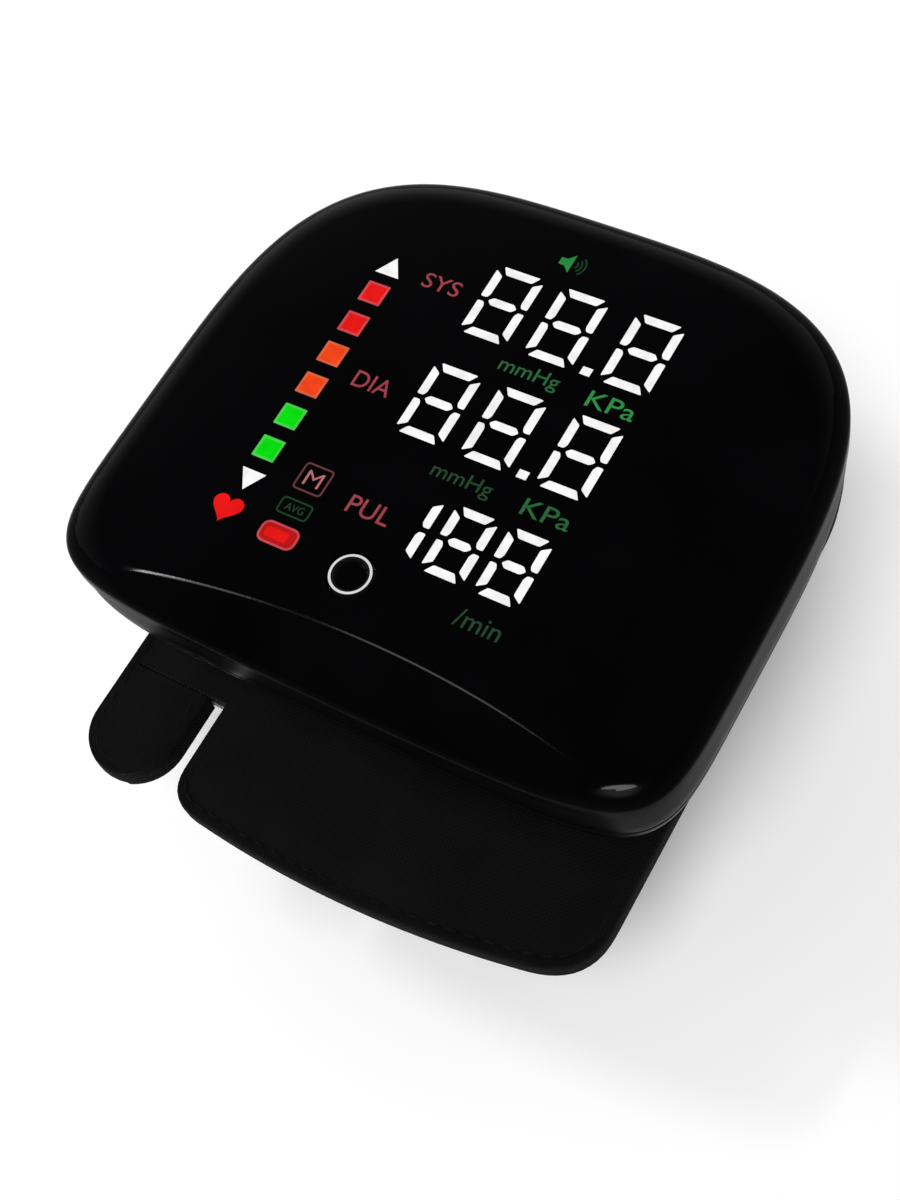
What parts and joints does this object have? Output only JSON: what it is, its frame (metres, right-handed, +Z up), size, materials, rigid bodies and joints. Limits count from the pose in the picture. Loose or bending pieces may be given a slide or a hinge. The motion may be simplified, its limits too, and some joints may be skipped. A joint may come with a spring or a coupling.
{
  "type": "wrist blood pressure monitor",
  "caption": "Wrist blood pressure monitor: a D shaped case with a lit digit display and one round button, on a padded wrap-round cuff with a pull tab.",
  "frame": {"origin": "centre of the bounding box, at the bottom of the cuff, on the surface it stands on", "axes": "+Z up out of the display, +Y towards the top of the display's text, +X to its right; the cuff wraps round the X axis"},
  "size_m": [0.0792, 0.0836, 0.0625],
  "materials": {
    "lens": "polished near black acrylic with thin bright edges",
    "shell": "moulded gloss black with faint swirl marks",
    "inner_plastic": "fine moulded texture, dark grey",
    "lit_plastic": "milky light guide, lit from behind",
    "board": "green solder mask over glass laminate",
    "steel": "plated and drawn steel",
    "cell_foil": "soft satin pouch foil",
    "soft_rubber": "matt translucent rubber",
    "cuff_fabric": "close black nylon weave with bound edges",
    "cuff_lining": "brushed soft black knit",
    "touch_fastener": "black hook and loop pile"
  },
  "bodies": {
    "root": {"front_lens": "lens", "front_shell": "shell", "back_shell": "shell", "cuff_saddle": "inner_plastic", "segment_diffuser": "lit_plastic", "digit_reflector": "inner_plastic", "display_board": "board", "button_light_ring": "lit_plastic", "tact_switch": "steel", "battery_cell": "cell_foil", "battery_pad": "soft_rubber", "pump_motor": "steel", "pump_head": "inner_plastic", "valve_body": "steel", "pressure_sensor": "inner_plastic", "bladder_nozzle": "inner_plastic", "air_hose": "soft_rubber", "speaker": "inner_plastic", "charge_socket": "steel", "charge_board": "board", "case_screw_1": "steel", "case_screw_2": "steel", "case_screw_3": "steel", "case_screw_4": "steel", "saddle_screw_1": "steel", "saddle_screw_2": "steel", "sleeve_cover": "cuff_fabric", "sleeve_stiffener": "inner_plastic", "sleeve_lining": "cuff_lining", "air_bladder": "soft_rubber", "loop_patch": "touch_fastener"},
    "start_button": {"start_button": "lens"},
    "cuff_band": {"band_cover": "cuff_fabric", "band_stiffener": "inner_plastic", "band_lining": "cuff_lining", "hook_patch": "touch_fastener"},
    "pull_tab": {"pull_tab": "cuff_fabric"},
    "pump_rotor": {"pump_rotor": "steel"},
    "valve_plunger": {"valve_plunger": "steel"}
  },
  "joints": [
    {"name": "start_button_press", "type": "slide", "parent": "root", "child": "start_button", "axis": [0, 0, -1], "range_m": [0, 0.0005], "stiffness_N_per_m": 400},
    {"name": "cuff_band_open", "type": "hinge", "parent": "root", "child": "cuff_band", "pos_m": [0, 0.0421, 0.0192], "axis": [1, 0, 0], "range_deg": [0, 60]},
    {"name": "pull_tab_lift", "type": "hinge", "parent": "root", "child": "pull_tab", "pos_m": [0, -0.02735, 0.0384], "axis": [-1, 0, 0], "range_deg": [0, 70], "stiffness_Nm_per_rad": 0.001},
    {"name": "pump_rotor_spin", "type": "hinge", "parent": "root", "child": "pump_rotor", "pos_m": [0.009, 0.0148, 0.0512], "axis": [1, 0, 0], "continuous": true},
    {"name": "valve_plunger_travel", "type": "slide", "parent": "root", "child": "valve_plunger", "axis": [-1, 0, 0], "range_m": [0, 0.0008], "stiffness_N_per_m": 200}
  ]
}
